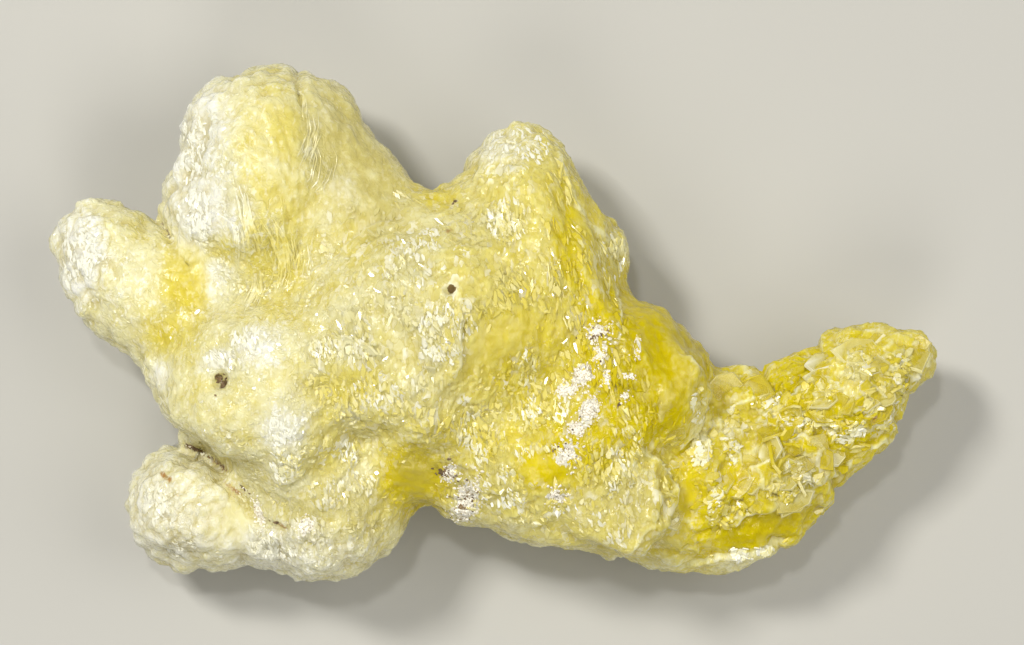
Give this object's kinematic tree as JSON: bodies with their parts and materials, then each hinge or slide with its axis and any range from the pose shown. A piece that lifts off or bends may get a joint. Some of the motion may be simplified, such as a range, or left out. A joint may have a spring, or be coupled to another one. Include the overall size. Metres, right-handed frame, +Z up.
{
  "type": "brucite specimen",
  "caption": "Yellow translucent mineral specimen: merged rounded lobes with a lumpy, scaly skin and a tail of six-sided tablets, lying flat on its cut underside.",
  "frame": {"origin": "on the surface that the specimen lies on, under the middle of its outline", "axes": "+X along the longest extent, from the lobed end towards the tip of the tail; +Y towards the crown and the horn; +Z up, the shortest extent, away from the cut underside"},
  "size_m": [0.0622, 0.0366, 0.0174],
  "materials": {
    "brucite": "translucent, pearly to waxy, pale cream-yellow to saturated yellow, with glinting scaly flakes and patches of white crust"
  },
  "bodies": {
    "root": {"brucite": "brucite"}
  },
  "joints": []
}
